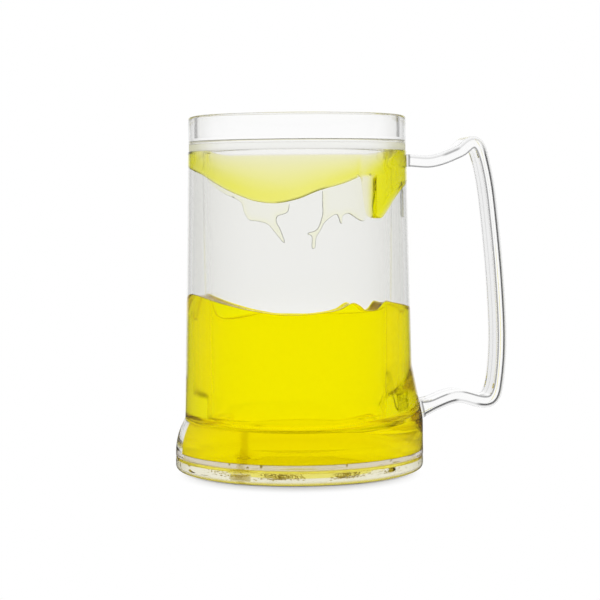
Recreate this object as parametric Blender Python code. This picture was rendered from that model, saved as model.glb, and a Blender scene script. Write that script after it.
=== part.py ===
"""Freezer mug: a clear double-walled mug with yellow freezing gel between its walls.

Metres, +Z up. The origin is the centre of the base's underside, on the mug's axis.
The handle points along +X.
"""

import math

import bmesh
import bpy
from mathutils import Matrix, Vector

# Overall
HEIGHT = 0.1404
SEGMENTS = 48
CLEARANCE = 0.0003
SHARP_ANGLE = math.radians(35.0)

# Outer shell
SHELL_TOP_RADIUS = 0.04345
SHELL_DRAFT = 0.00225
SHELL_WALL = 0.0022
FOOT_FLARE = 0.0039
FOOT_WALL = 0.0028
FOOT_BAND = 0.0006
FLARE_RISE = 0.0141
TONGUE_HEIGHT = 0.0010

# Collar and liner
COLLAR_HEIGHT = 0.0112
COLLAR_INSET = 0.00025
COLLAR_WALL = 0.0023
SEAM_DEPTH = 0.0004
FLANGE_DROP = 0.0006
STEP_DEPTH = 0.0038
SHOULDER_SLOPE = math.radians(36.0)
SHOULDER_WALL = 0.00265
SHOULDER_FILLET = 0.0026
GEL_GAP = 0.0034
CUP_WALL = 0.0020
CUP_DRAFT = 0.0010
CUP_FLOOR = 0.0024
CUP_CORNER = 0.0050
UNDER_CUP_SPACE = 0.0083

# Base plate, its plug and the bonded joints
BASE_FLANGE = 0.0047
BASE_EDGE = 0.0020
SPIGOT_HEIGHT = 0.0028
BOND_HEIGHT = 0.0005
BOND_MARGIN = 0.0002
GROOVE_DEPTH = 0.0022
GROOVE_WIDTH = 0.0016
GROOVE_WALL = 0.0007
PLUG_OFFSET = 0.0170
PLUG_RADIUS = 0.0012
PLUG_HEAD_RADIUS = 0.0030
PLUG_HEAD = 0.0012
PLUG_STEM_RISE = 0.0034
PLUG_KNOB = 0.0010
PLUG_KNOB_HEIGHT = 0.0014

# Handle and what carries it
HANDLE_REACH = 0.0836
HANDLE_WIDTH = 0.0156
HANDLE_THICKNESS = 0.0040
LOWER_END_THICKNESS = 0.0072
HANDLE_EDGE = 0.0012
UPPER_ROOT_DROP = 0.0039
LOWER_ROOT_RISE = 0.0022
PAD_RISE = 0.0003
PAD_MARGIN = 0.0009
PAD_ROOT = 0.0013
BOSS_HEIGHT = 0.0215
BOSS_SLOPE = math.radians(10.0)
BOSS_FALLOFF = 1.5

# Middle line of the strap: how far behind the grip's line each point lies, and how far above its own root
UPPER_ARM = ((0.0172, 0.0036), (0.0108, 0.0072), (0.0066, 0.0030), (0.0034, -0.0164))
LOWER_ARM = ((0.0006, 0.0098), (0.0046, 0.0024), (0.0185, 0.0043))
ARM_LENGTH = 0.0095
ARM_DIP = 0.0003
GRIP_BELLY = 0.35
LOWER_END_SHARE = 0.36
PATH_STEP = 0.004

# Gel
GEL_LEVEL = 0.0635
GEL_TILT = 0.0035
GEL_HIGH_SIDE = math.radians(-115.0)
GEL_RIPPLE = 0.0014
GEL_RIPPLES = 5
UPPER_GEL_THICKNESS = 0.0016
FILM_THICKNESS = 0.0005
FILM_TOP_DROP = 0.0080

# Heights and radii that follow from the sizes above
SHELL_LOW_RADIUS = SHELL_TOP_RADIUS + SHELL_DRAFT
FOOT_RADIUS = SHELL_LOW_RADIUS + FOOT_FLARE
COLLAR_RADIUS = SHELL_TOP_RADIUS - COLLAR_INSET
MOUTH_RADIUS = COLLAR_RADIUS - COLLAR_WALL
SEAM_RADIUS = COLLAR_RADIUS - SEAM_DEPTH
COLLAR_BOTTOM = HEIGHT - COLLAR_HEIGHT
FLANGE_BOTTOM = COLLAR_BOTTOM - FLANGE_DROP
RIM_BOND_TOP = FLANGE_BOTTOM - CLEARANCE
TONGUE_TOP = RIM_BOND_TOP - BOND_HEIGHT - CLEARANCE
SHOULDER = TONGUE_TOP - TONGUE_HEIGHT
SHELL_BORE_TOP = SHELL_TOP_RADIUS - SHELL_WALL
FOOT_BORE = FOOT_RADIUS - FOOT_WALL
BASE_BOND_BOTTOM = BASE_FLANGE + CLEARANCE
SHELL_BOTTOM = BASE_BOND_BOTTOM + BOND_HEIGHT + CLEARANCE
FOOT_UPRIGHT = SHELL_BOTTOM + FOOT_BAND
FOOT_HEIGHT = FOOT_UPRIGHT + FLARE_RISE
BOSS_TOP = FOOT_HEIGHT + BOSS_HEIGHT
BASE_TOP = BASE_FLANGE + SPIGOT_HEIGHT
SPIGOT_RADIUS = FOOT_BORE - CLEARANCE
CUP_UNDERSIDE = BASE_TOP + UNDER_CUP_SPACE
CUP_FLOOR_TOP = CUP_UNDERSIDE + CUP_FLOOR
CUP_TOP_RADIUS = SHELL_BORE_TOP - GEL_GAP
CUP_LOW_RADIUS = CUP_TOP_RADIUS - CUP_DRAFT
CEILING_OUTER = SHELL_BORE_TOP - CLEARANCE
CEILING_LOW = FLANGE_BOTTOM - STEP_DEPTH
CEILING_HIGH = CEILING_LOW + (CEILING_OUTER - CUP_TOP_RADIUS) * math.tan(SHOULDER_SLOPE)
GROOVE_OUTER = FOOT_RADIUS - GROOVE_WALL
GROOVE_INNER = GROOVE_OUTER - GROOVE_WIDTH
GROOVE_BOTTOM = BASE_FLANGE - GROOVE_DEPTH
PLUG_KNOB_BOTTOM = BASE_TOP + PLUG_STEM_RISE
PLUG_TOP = PLUG_KNOB_BOTTOM + PLUG_KNOB_HEIGHT
UPPER_ROOT = SHOULDER - UPPER_ROOT_DROP
LOWER_ROOT = FOOT_HEIGHT + LOWER_ROOT_RISE
FLARE_ARC = (FLARE_RISE**2 + FOOT_FLARE**2) / (2 * FOOT_FLARE)

# Lower edges of the clinging gel: degrees around the mug from the handle, and how far below the shoulder
UPPER_GEL_EDGE = (
    (-188, 0.0055), (-160, 0.0090), (-140, 0.0150), (-121, 0.0195), (-105, 0.0195), (-85, 0.0150),
    (-64, 0.0100), (-57, 0.0240), (-50, 0.0255), (-43, 0.0210), (-33, 0.0150), (0, 0.0110),
    (45, 0.0160), (90, 0.0120), (140, 0.0150),
)
FILM_EDGE = (
    (-180, 0.0110), (-150, 0.0160), (-128, 0.0240), (-112, 0.0330), (-104, 0.0250), (-92, 0.0350),
    (-80, 0.0240), (-55, 0.0270), (-24, 0.0260), (0, 0.0150), (60, 0.0200), (120, 0.0140),
)


def body_radius(height):
    """Outside of the shell's straight wall at a height."""
    share = (height - FOOT_HEIGHT) / (SHOULDER - FOOT_HEIGHT)
    return SHELL_LOW_RADIUS + (SHELL_TOP_RADIUS - SHELL_LOW_RADIUS) * share


def shell_radius(height):
    """Outside of the shell at a height, with the foot's rounded flare and without the handle's boss."""
    if height >= FOOT_HEIGHT:
        return body_radius(height)
    rise = max(0.0, height - FOOT_UPRIGHT)
    return FOOT_RADIUS - FLARE_ARC + math.sqrt(FLARE_ARC**2 - rise**2)


def boss_radius(height, angle):
    """Outside of the cone-shaped boss that swells from the foot towards the handle."""
    towards = max(0.0, math.cos(angle)) ** BOSS_FALLOFF
    edge = FOOT_HEIGHT + (BOSS_TOP - FOOT_HEIGHT) * towards
    swell = max(0.0, edge - height) * math.tan(BOSS_SLOPE)
    return min(FOOT_RADIUS, body_radius(max(height, FOOT_HEIGHT)) + swell)


def bore_radius(height):
    """Inside of the shell at a height."""
    if height >= FOOT_HEIGHT:
        return body_radius(height) - SHELL_WALL
    return min(FOOT_BORE, shell_radius(height) - SHELL_WALL)


def cup_radius(height):
    """Outside of the liner's straight wall at a height."""
    share = (height - CUP_UNDERSIDE) / (CEILING_LOW - CUP_UNDERSIDE)
    return CUP_LOW_RADIUS + (CUP_TOP_RADIUS - CUP_LOW_RADIUS) * share


def spaced(first, last, count):
    return [first + (last - first) * i / count for i in range(count + 1)]


def arc(centre, radius, start, end, count):
    """Points on an arc in the profile plane, with angles in degrees from the outward direction."""
    turns = [math.radians(a) for a in spaced(start, end, count)]
    return [(centre[0] + radius * math.cos(t), centre[1] + radius * math.sin(t)) for t in turns]


def around(edge, angle):
    """Value of a closed wavy edge at an angle in radians, eased between the edge's own points."""
    degrees = math.degrees(angle)
    points = [(a + turn, value) for turn in (-360, 0, 360) for a, value in edge]
    points.sort()
    for (low, before), (high, after) in zip(points, points[1:]):
        if low <= degrees < high:
            ease = 0.5 - 0.5 * math.cos(math.pi * (degrees - low) / (high - low))
            return before + (after - before) * ease
    return points[-1][1]


def finish(name, mesh, material):
    mesh.materials.append(material)
    mesh.shade_smooth()
    mesh.set_sharp_from_angle(angle=SHARP_ANGLE)
    piece = bpy.data.objects.new(name, mesh)
    bpy.context.scene.collection.objects.link(piece)
    return piece


def turned(name, profile, material, closed=True, shape=None):
    """A profile of (radius, height) spun about Z. shape may move a point by its radius, height and angle."""
    bm = bmesh.new()
    points = [bm.verts.new((radius, 0.0, height)) for radius, height in profile]
    pairs = list(zip(points, points[1:]))
    if closed:
        pairs.append((points[-1], points[0]))
    edges = [bm.edges.new(pair) for pair in pairs]
    path = {"cent": (0, 0, 0), "axis": (0, 0, 1), "angle": math.tau}
    bmesh.ops.spin(bm, geom=points + edges, steps=SEGMENTS, use_merge=True, **path)
    bmesh.ops.remove_doubles(bm, verts=bm.verts, dist=1e-7)
    if shape:
        for vert in bm.verts:
            angle = math.atan2(vert.co.y, vert.co.x)
            radius, height = shape(vert.co.xy.length, vert.co.z, angle)
            vert.co = (radius * math.cos(angle), radius * math.sin(angle), height)
    bmesh.ops.recalc_face_normals(bm, faces=bm.faces)
    mesh = bpy.data.meshes.new(name)
    bm.to_mesh(mesh)
    bm.free()
    return finish(name, mesh, material)


def block(name, size, place, tilt):
    """A box used only to join or cut, with its centre at place and turned about Y."""
    bm = bmesh.new()
    bmesh.ops.create_cube(bm, size=1.0)
    matrix = Matrix.Translation(place) @ Matrix.Rotation(tilt, 4, "Y") @ Matrix.Diagonal((*size, 1.0))
    bmesh.ops.transform(bm, matrix=matrix, verts=bm.verts)
    return helper(name, bm)


def rod(name, radius, bottom, top, place):
    """An upright cylinder used only to join or cut."""
    bm = bmesh.new()
    bmesh.ops.create_cone(
        bm, cap_ends=True, segments=SEGMENTS // 2, radius1=radius, radius2=radius, depth=top - bottom
    )
    bmesh.ops.translate(bm, vec=Vector(place) + Vector((0, 0, (top + bottom) / 2)), verts=bm.verts)
    return helper(name, bm)


def helper(name, bm):
    mesh = bpy.data.meshes.new(name)
    bm.to_mesh(mesh)
    bm.free()
    tool = bpy.data.objects.new(name, mesh)
    tool.hide_render = True
    tool.display_type = "WIRE"
    bpy.context.scene.collection.objects.link(tool)
    return tool


def combine(piece, tool, operation):
    modifier = piece.modifiers.new(tool.name, "BOOLEAN")
    modifier.operation = operation
    modifier.solver = "EXACT"
    modifier.object = tool


def surface(name, colour, roughness, transmission=0.0, ior=1.45):
    material = bpy.data.materials.new(name)
    material.use_nodes = True
    shader = material.node_tree.nodes["Principled BSDF"]
    shader.inputs["Base Color"].default_value = (*colour, 1.0)
    shader.inputs["Roughness"].default_value = roughness
    shader.inputs["Metallic"].default_value = 0.0
    shader.inputs["Transmission Weight"].default_value = transmission
    shader.inputs["IOR"].default_value = ior
    return material


def upper_seat():
    """Point and outward direction of the flat face that the handle's upper end meets."""
    return Vector((body_radius(UPPER_ROOT) + PAD_RISE, 0.0, UPPER_ROOT)), Vector((1.0, 0.0, 0.0))


def lower_seat():
    """Point and outward direction of the flat face that the handle's lower end meets, square to the boss."""
    out = Vector((math.cos(BOSS_SLOPE), 0.0, math.sin(BOSS_SLOPE)))
    reach = max(boss_radius(LOWER_ROOT, 0.0), shell_radius(LOWER_ROOT))
    return Vector((reach, 0.0, LOWER_ROOT)) + out * PAD_RISE, out


def pad(name, seat, thickness):
    """Flat landing for one end of the handle, rooted in the shell's wall."""
    point, out = seat
    depth = PAD_RISE + PAD_ROOT
    size = (depth, HANDLE_WIDTH + 2 * PAD_MARGIN, thickness + 2 * PAD_MARGIN)
    return block(name, size, point - out * depth / 2, -math.atan2(out.z, out.x))


def outer_shell(material):
    boss_rows = spaced(BOSS_TOP, FOOT_HEIGHT, 6)
    foot_rows = spaced(FOOT_HEIGHT, FOOT_UPRIGHT, 4)[1:]
    outside = [(SHELL_TOP_RADIUS, SHOULDER)] + [(shell_radius(z), z) for z in boss_rows + foot_rows]
    bore_rows = [SHELL_BOTTOM] + spaced(FOOT_UPRIGHT, FOOT_HEIGHT, 5)[1:]
    inside = [(bore_radius(z), z) for z in bore_rows]
    profile = [(SEAM_RADIUS, TONGUE_TOP), (SEAM_RADIUS, SHOULDER)] + outside
    profile += [(FOOT_RADIUS, SHELL_BOTTOM)] + inside
    profile += [(SHELL_BORE_TOP, SHOULDER), (SHELL_BORE_TOP, TONGUE_TOP)]

    def swell(radius, height, angle):
        outer = radius > (shell_radius(height) + bore_radius(height)) / 2 and height <= BOSS_TOP
        return (max(radius, boss_radius(height, angle)) if outer else radius), height

    shell = turned("outer_shell", profile, material, shape=swell)
    combine(shell, pad("upper_pad", upper_seat(), HANDLE_THICKNESS), "UNION")
    combine(shell, pad("lower_pad", lower_seat(), LOWER_END_THICKNESS), "UNION")
    return shell


def inner_liner(material):
    lip = COLLAR_WALL / 2
    rim = arc((COLLAR_RADIUS - lip, HEIGHT - lip), lip, 0, 180, 6)
    inner_top = CUP_TOP_RADIUS - CUP_WALL
    inner_low = CUP_LOW_RADIUS - CUP_WALL
    ledge = CEILING_LOW - CUP_WALL * math.tan(SHOULDER_SLOPE) + SHOULDER_WALL / math.cos(SHOULDER_SLOPE)
    bend = math.pi / 2 - SHOULDER_SLOPE
    bend_radius = MOUTH_RADIUS - SHOULDER_FILLET * (1 - math.cos(bend))
    bend_low = ledge + (bend_radius - inner_top) * math.tan(SHOULDER_SLOPE)
    bend_height = bend_low + SHOULDER_FILLET * math.sin(bend)
    inside = arc((MOUTH_RADIUS - SHOULDER_FILLET, bend_height), SHOULDER_FILLET, 0, -math.degrees(bend), 3)
    inside += [(inner_top, ledge)]
    inside += arc((inner_low - CUP_CORNER, CUP_FLOOR_TOP + CUP_CORNER), CUP_CORNER, 0, -90, 4)
    inside += [(0.0, CUP_FLOOR_TOP)]
    corner = CUP_CORNER + CUP_WALL
    outside = [(0.0, CUP_UNDERSIDE)]
    outside += arc((CUP_LOW_RADIUS - corner, CUP_UNDERSIDE + corner), corner, -90, 0, 4)
    outside += [(CUP_TOP_RADIUS, CEILING_LOW), (CEILING_OUTER, CEILING_HIGH), (CEILING_OUTER, FLANGE_BOTTOM)]
    outside += [(SEAM_RADIUS, FLANGE_BOTTOM), (SEAM_RADIUS, COLLAR_BOTTOM), (COLLAR_RADIUS, COLLAR_BOTTOM)]
    return turned("inner_liner", rim + inside + outside, material)


def base_plate(material):
    edge = arc((FOOT_RADIUS - BASE_EDGE, BASE_EDGE), BASE_EDGE, -90, 0, 4)
    profile = [(0.0, 0.0)] + edge + [(FOOT_RADIUS, BASE_FLANGE)]
    profile += [(GROOVE_OUTER, BASE_FLANGE), (GROOVE_OUTER, GROOVE_BOTTOM)]
    profile += [(GROOVE_INNER, GROOVE_BOTTOM), (GROOVE_INNER, BASE_FLANGE)]
    profile += [(SPIGOT_RADIUS, BASE_FLANGE), (SPIGOT_RADIUS, BASE_TOP), (0.0, BASE_TOP)]
    plate = turned("base_plate", profile, material, closed=False)
    place = (-PLUG_OFFSET, 0.0, 0.0)
    hole = rod("plug_hole", PLUG_RADIUS + CLEARANCE, -BASE_FLANGE, BASE_TOP + BASE_FLANGE, place)
    combine(plate, hole, "DIFFERENCE")
    sink = rod("plug_sink", PLUG_HEAD_RADIUS + CLEARANCE, -BASE_FLANGE, PLUG_HEAD + 2 * CLEARANCE, place)
    combine(plate, sink, "DIFFERENCE")
    return plate


def fill_plug(material):
    profile = [
        (0.0, CLEARANCE),
        (PLUG_HEAD_RADIUS, CLEARANCE),
        (PLUG_HEAD_RADIUS, CLEARANCE + PLUG_HEAD),
        (PLUG_RADIUS, CLEARANCE + PLUG_HEAD),
        (PLUG_RADIUS, PLUG_KNOB_BOTTOM),
        (PLUG_RADIUS + PLUG_KNOB, PLUG_KNOB_BOTTOM),
        (PLUG_RADIUS + PLUG_KNOB, (PLUG_KNOB_BOTTOM + PLUG_TOP) / 2),
        (PLUG_RADIUS, PLUG_TOP),
        (0.0, PLUG_TOP),
    ]
    plug = turned("fill_plug", profile, material, closed=False)
    plug.location = (-PLUG_OFFSET, 0.0, 0.0)
    return plug


def bond_ring(name, inner, outer, bottom, material, rib=()):
    """A flat ring of glue. rib gives the points of a part of it that reaches down into a groove."""
    top = bottom + BOND_HEIGHT
    profile = [(inner, bottom), *rib, (outer, bottom), (outer, top), (inner, top)]
    return turned(name, profile, material)


def gel_lower(material):
    bottom = BASE_TOP + CLEARANCE
    wall_rows = spaced(FOOT_UPRIGHT, FOOT_HEIGHT, 5)[1:]
    outside = [(0.0, bottom), (FOOT_BORE - CLEARANCE, bottom)]
    outside += [(bore_radius(z) - CLEARANCE, z) for z in wall_rows if z > bottom]
    top = [(bore_radius(GEL_LEVEL) - CLEARANCE, GEL_LEVEL), (cup_radius(GEL_LEVEL) + CLEARANCE, GEL_LEVEL)]
    corner = CUP_CORNER + CUP_WALL
    centre = (CUP_LOW_RADIUS - corner, CUP_UNDERSIDE + corner)
    inside = arc(centre, corner + CLEARANCE, 0, -90, 4)
    inside += [(0.0, CUP_UNDERSIDE - CLEARANCE)]

    def wave(radius, height, angle):
        if abs(height - GEL_LEVEL) > 1e-6:
            return radius, height
        lean = GEL_TILT * math.cos(angle - GEL_HIGH_SIDE)
        level = GEL_LEVEL + lean + GEL_RIPPLE * math.sin(GEL_RIPPLES * angle)
        inner = radius < (bore_radius(GEL_LEVEL) + cup_radius(GEL_LEVEL)) / 2
        return (cup_radius(level) + CLEARANCE if inner else bore_radius(level) - CLEARANCE), level

    gel = turned("gel_lower", outside + top + inside, material, closed=False, shape=wave)
    pocket_radius = PLUG_RADIUS + PLUG_KNOB + CLEARANCE
    pocket = rod("plug_pocket", pocket_radius, BASE_FLANGE, PLUG_TOP + CLEARANCE, (-PLUG_OFFSET, 0.0, 0.0))
    combine(gel, pocket, "DIFFERENCE")
    return gel


def hanging_gel(name, top_outer, thickness, edge, outside, material):
    """A sleeve of gel that hangs in the space between the walls, with a wavy lower edge.

    Its top has the slope of the liner's shoulder. outside gives the sleeve's outer radius at a height.
    """
    top_inner = top_outer - thickness * math.tan(SHOULDER_SLOPE)
    hem = SHOULDER - max(drop for _, drop in edge)
    profile = [(outside(top_outer), top_outer), (outside(top_inner) - thickness, top_inner)]
    profile += [(outside(hem) - thickness, hem), (outside(hem), hem)]

    def hang(radius, height, angle):
        if abs(height - hem) > 1e-6:
            return radius, height
        low = SHOULDER - around(edge, angle)
        return radius - outside(hem) + outside(low), low

    return turned(name, profile, material, shape=hang)


def gel_upper(material):
    top = CEILING_HIGH - CLEARANCE / math.cos(SHOULDER_SLOPE)
    return hanging_gel(
        "gel_upper", top, UPPER_GEL_THICKNESS, UPPER_GEL_EDGE, lambda z: bore_radius(z) - CLEARANCE, material
    )


def gel_film(material):
    top = SHOULDER - FILM_TOP_DROP
    reach = CLEARANCE + FILM_THICKNESS
    return hanging_gel("gel_film", top, FILM_THICKNESS, FILM_EDGE, lambda z: cup_radius(z) + reach, material)


def handle_knots(start, end):
    """The points that the strap's middle line passes through, from its upper end to its lower one."""
    grip = HANDLE_REACH - HANDLE_THICKNESS / 2
    belly = end.z + (start.z - end.z) * GRIP_BELLY
    line = [(start.x + ARM_LENGTH, start.z - ARM_DIP)]
    line += [(grip - behind, start.z + above) for behind, above in UPPER_ARM]
    line += [(grip, belly)]
    line += [(grip - behind, end.z + above) for behind, above in LOWER_ARM]
    return [start] + [Vector((x, 0.0, z)) for x, z in line] + [end]


def handle_path():
    """Points along the strap's middle line, and its direction at each."""
    start, upper_out = upper_seat()
    end, lower_out = lower_seat()
    knots = handle_knots(start + upper_out * CLEARANCE, end + lower_out * CLEARANCE)
    inner = [(after - before).normalized() for before, after in zip(knots, knots[2:])]
    slopes = [upper_out] + inner + [-lower_out]
    points = []
    for i in range(len(knots) - 1):
        span = (knots[i + 1] - knots[i]).length
        steps = max(2, round(span / PATH_STEP))
        for t in spaced(0.0, 1.0, steps)[:-1]:
            point = knots[i] * (2 * t**3 - 3 * t**2 + 1) + slopes[i] * span * (t**3 - 2 * t**2 + t)
            point += knots[i + 1] * (3 * t**2 - 2 * t**3) + slopes[i + 1] * span * (t**3 - t**2)
            points.append(point)
    points.append(knots[-1])
    middle = [(after - before).normalized() for before, after in zip(points, points[2:])]
    return points, [upper_out] + middle + [-lower_out]


def handle(material):
    points, directions = handle_path()
    bm = bmesh.new()
    loops = []
    for i, (point, direction) in enumerate(zip(points, directions)):
        swelling = max(0.0, 1 - (1 - i / (len(points) - 1)) / LOWER_END_SHARE)
        half = (HANDLE_THICKNESS + (LOWER_END_THICKNESS - HANDLE_THICKNESS) * swelling) / 2
        across = direction.cross(Vector((0.0, 1.0, 0.0)))
        corners = ((1, 1, 0), (-1, 1, 90), (-1, -1, 180), (1, -1, 270))
        section = []
        for side, front, turn in corners:
            centre = (side * (half - HANDLE_EDGE), front * (HANDLE_WIDTH / 2 - HANDLE_EDGE))
            section += arc(centre, HANDLE_EDGE, turn, turn + 90, 2)
        loops.append([bm.verts.new(point + across * a + Vector((0.0, b, 0.0))) for a, b in section])
    for before, after in zip(loops, loops[1:]):
        for j in range(len(before)):
            k = (j + 1) % len(before)
            bm.faces.new((before[j], before[k], after[k], after[j]))
    bm.faces.new(loops[0])
    bm.faces.new(loops[-1])
    bmesh.ops.recalc_face_normals(bm, faces=bm.faces)
    mesh = bpy.data.meshes.new("handle")
    bm.to_mesh(mesh)
    bm.free()
    return finish("handle", mesh, material)


def main():
    for old in list(bpy.data.objects):
        bpy.data.objects.remove(old)
    clear = surface("clear_plastic", (0.93, 0.95, 0.95), 0.04, 1.0, 1.57)
    gel = surface("yellow_gel", (0.90, 0.80, 0.02), 0.08, 0.8, 1.38)
    film = surface("gel_film", (0.93, 0.92, 0.62), 0.06, 0.9, 1.38)
    glue = surface("adhesive", (0.80, 0.74, 0.42), 0.35, 0.5, 1.48)
    rubber = surface("plug_rubber", (0.72, 0.66, 0.16), 0.55)
    outer_shell(clear)
    inner_liner(clear)
    base_plate(clear)
    handle(clear)
    fill_plug(rubber)
    rim_inner = SHELL_BORE_TOP + BOND_MARGIN
    rim_outer = SEAM_RADIUS - BOND_MARGIN
    bond_ring("rim_bond_ring", rim_inner, rim_outer, RIM_BOND_TOP - BOND_HEIGHT, glue)
    base_inner = FOOT_BORE + BOND_MARGIN
    base_outer = FOOT_RADIUS - BOND_MARGIN
    rib_inner = GROOVE_INNER + CLEARANCE
    rib_outer = GROOVE_OUTER - CLEARANCE
    rib_bottom = GROOVE_BOTTOM + CLEARANCE
    rib = [(rib_inner, BASE_BOND_BOTTOM), (rib_inner, rib_bottom)]
    rib += [(rib_outer, rib_bottom), (rib_outer, BASE_BOND_BOTTOM)]
    bond_ring("base_bond_ring", base_inner, base_outer, BASE_BOND_BOTTOM, glue, rib)
    gel_lower(gel)
    gel_upper(gel)
    gel_film(film)


main()
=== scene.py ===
"""Looks of the freezer mug: a clear double-walled mug with yellow gel sealed between its walls.

Metres, in the CAD frame: +Z up, the handle along +X, the origin under the middle of the base.
"""

import math
import random

import bmesh
import bpy
from mathutils import Matrix, Vector, noise
from mathutils.geometry import delaunay_2d_cdt


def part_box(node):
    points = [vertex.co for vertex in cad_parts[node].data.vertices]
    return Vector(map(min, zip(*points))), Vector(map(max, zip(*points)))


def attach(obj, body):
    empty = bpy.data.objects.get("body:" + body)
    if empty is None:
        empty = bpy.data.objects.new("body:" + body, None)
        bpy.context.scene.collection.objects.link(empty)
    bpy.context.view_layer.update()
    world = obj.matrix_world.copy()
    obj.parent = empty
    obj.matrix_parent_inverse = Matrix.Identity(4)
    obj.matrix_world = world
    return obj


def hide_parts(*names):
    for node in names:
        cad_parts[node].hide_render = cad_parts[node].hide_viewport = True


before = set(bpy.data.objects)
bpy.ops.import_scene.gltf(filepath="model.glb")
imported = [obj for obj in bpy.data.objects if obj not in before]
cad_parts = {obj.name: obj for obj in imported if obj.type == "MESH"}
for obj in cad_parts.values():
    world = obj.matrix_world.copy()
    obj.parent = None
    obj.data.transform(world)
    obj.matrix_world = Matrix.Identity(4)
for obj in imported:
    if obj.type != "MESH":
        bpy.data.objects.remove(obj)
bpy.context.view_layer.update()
SCENE = bpy.context.scene
MM = 0.001

# Heights and radii of the mouldings, from the CAD nodes
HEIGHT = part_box("inner_liner")[1].z
COLLAR_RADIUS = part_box("inner_liner")[1].y
CUP_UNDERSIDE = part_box("inner_liner")[0].z
FOOT_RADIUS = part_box("base_plate")[1].y
BASE_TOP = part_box("base_plate")[1].z
SHELL_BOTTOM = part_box("outer_shell")[0].z
TONGUE_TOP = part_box("outer_shell")[1].z
HANDLE_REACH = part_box("handle")[1].x
HANDLE_WIDTH = 2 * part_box("handle")[1].y
SHOULDER = TONGUE_TOP - 1.0 * MM
SHELL_TOP_RADIUS = COLLAR_RADIUS + 0.25 * MM
SHELL_LOW_RADIUS = SHELL_TOP_RADIUS + 2.25 * MM
SHELL_WALL = 2.2 * MM
SHELL_BORE_TOP = SHELL_TOP_RADIUS - SHELL_WALL
FOOT_BORE = FOOT_RADIUS - 2.8 * MM
FOOT_UPRIGHT = SHELL_BOTTOM + 0.6 * MM
FLARE_RISE = 14.1 * MM
FOOT_HEIGHT = FOOT_UPRIGHT + FLARE_RISE
FLARE = FOOT_RADIUS - SHELL_LOW_RADIUS
FLARE_ARC = (FLARE_RISE**2 + FLARE**2) / (2 * FLARE)
BOSS_RISE = 21.5 * MM
BOSS_TOP = FOOT_HEIGHT + BOSS_RISE
BOSS_SLOPE = math.tan(math.radians(10.0))
BOSS_NARROWING = 1.5
SEAM_RADIUS = COLLAR_RADIUS - 0.4 * MM
COLLAR_WALL = 2.3 * MM
MOUTH_RADIUS = COLLAR_RADIUS - COLLAR_WALL
COLLAR_BOTTOM = HEIGHT - 11.2 * MM
FLANGE_BOTTOM = COLLAR_BOTTOM - 0.6 * MM
CUP_WALL = 2.0 * MM
CUP_TOP_RADIUS = SHELL_BORE_TOP - 3.4 * MM
CUP_LOW_RADIUS = CUP_TOP_RADIUS - 1.0 * MM
CUP_CORNER = 5.0 * MM
CUP_FLOOR = CUP_UNDERSIDE + 2.4 * MM
CEILING_OUTER = SHELL_BORE_TOP - 0.3 * MM
SHOULDER_SLOPE = math.radians(36.0)
CEILING_LOW = FLANGE_BOTTOM - 3.8 * MM
CEILING_HIGH = CEILING_LOW + (CEILING_OUTER - CUP_TOP_RADIUS) * math.tan(SHOULDER_SLOPE)
BASE_FLANGE = 4.7 * MM

# How deep a wetted gel face reaches into the wall, so that light goes straight from one into the other
WETTING = 0.06 * MM
MENISCUS = 0.5 * MM
# Side of the mug that the photograph shows, in degrees from the handle
FRONT_SIDE = -99.0
# Points around a turned piece, and the distance below which two of them are one
TURNS = 384
SAME_POINT = 1e-8


def body_radius(z):
    """Outside of the shell's straight wall."""
    draft = SHELL_TOP_RADIUS - SHELL_LOW_RADIUS
    return SHELL_LOW_RADIUS + draft * (z - FOOT_HEIGHT) / (SHOULDER - FOOT_HEIGHT)


def shell_radius(z):
    """Outside of the shell with the foot's flare."""
    if z >= FOOT_HEIGHT:
        return body_radius(z)
    rise = max(0.0, z - FOOT_UPRIGHT)
    return FOOT_RADIUS - FLARE_ARC + math.sqrt(FLARE_ARC**2 - rise**2)


def boss_radius(z, angle):
    """Outside of the boss that swells from the foot towards the handle."""
    towards = max(0.0, math.cos(angle)) ** BOSS_NARROWING
    swell = (FOOT_HEIGHT + BOSS_RISE * towards - z) * BOSS_SLOPE
    return min(FOOT_RADIUS, body_radius(max(z, FOOT_HEIGHT)) + swell)


def bore_radius(z):
    """Inside of the shell."""
    if z >= FOOT_HEIGHT:
        return body_radius(z) - SHELL_WALL
    return min(FOOT_BORE, shell_radius(z) - SHELL_WALL)


def cup_radius(z):
    """Outside of the liner's straight wall."""
    share = (z - CUP_UNDERSIDE) / (CEILING_LOW - CUP_UNDERSIDE)
    return CUP_LOW_RADIUS + (CUP_TOP_RADIUS - CUP_LOW_RADIUS) * share


def soft_max(a, b, width):
    """The larger of two sizes, with a small fillet where they cross."""
    share = max(0.0, min(1.0, 0.5 + 0.5 * (a - b) / width))
    return b + (a - b) * share + width * share * (1 - share)


def soft_step(value):
    """A smooth step from 0 to 1."""
    value = max(0.0, min(1.0, value))
    return value * value * (3 - 2 * value)


def window(value, first, rise, last, fall):
    """1 between two values, with a soft rise after the first and a soft fall before the last."""
    return soft_step((value - first) / rise) * soft_step((last - value) / fall)


def aside(angle):
    """Degrees around the mug from the side that the photograph shows, for an angle in radians."""
    return (math.degrees(angle) - FRONT_SIDE + 180) % 360 - 180


def spaced(first, last, count):
    return [first + (last - first) * i / count for i in range(count + 1)]


def arc(centre, radius, start, end, count):
    """Points on an arc in the profile plane, in degrees from the outward direction."""
    turns = [math.radians(a) for a in spaced(start, end, count)]
    return [(centre[0] + radius * math.cos(t), centre[1] + radius * math.sin(t)) for t in turns]


def blend_shares(t):
    """Shares of a start, its slope, an end and its slope, on a smooth curve between the two."""
    return 2 * t**3 - 3 * t**2 + 1, t**3 - 2 * t**2 + t, 3 * t**2 - 2 * t**3, t**3 - t**2


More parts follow.
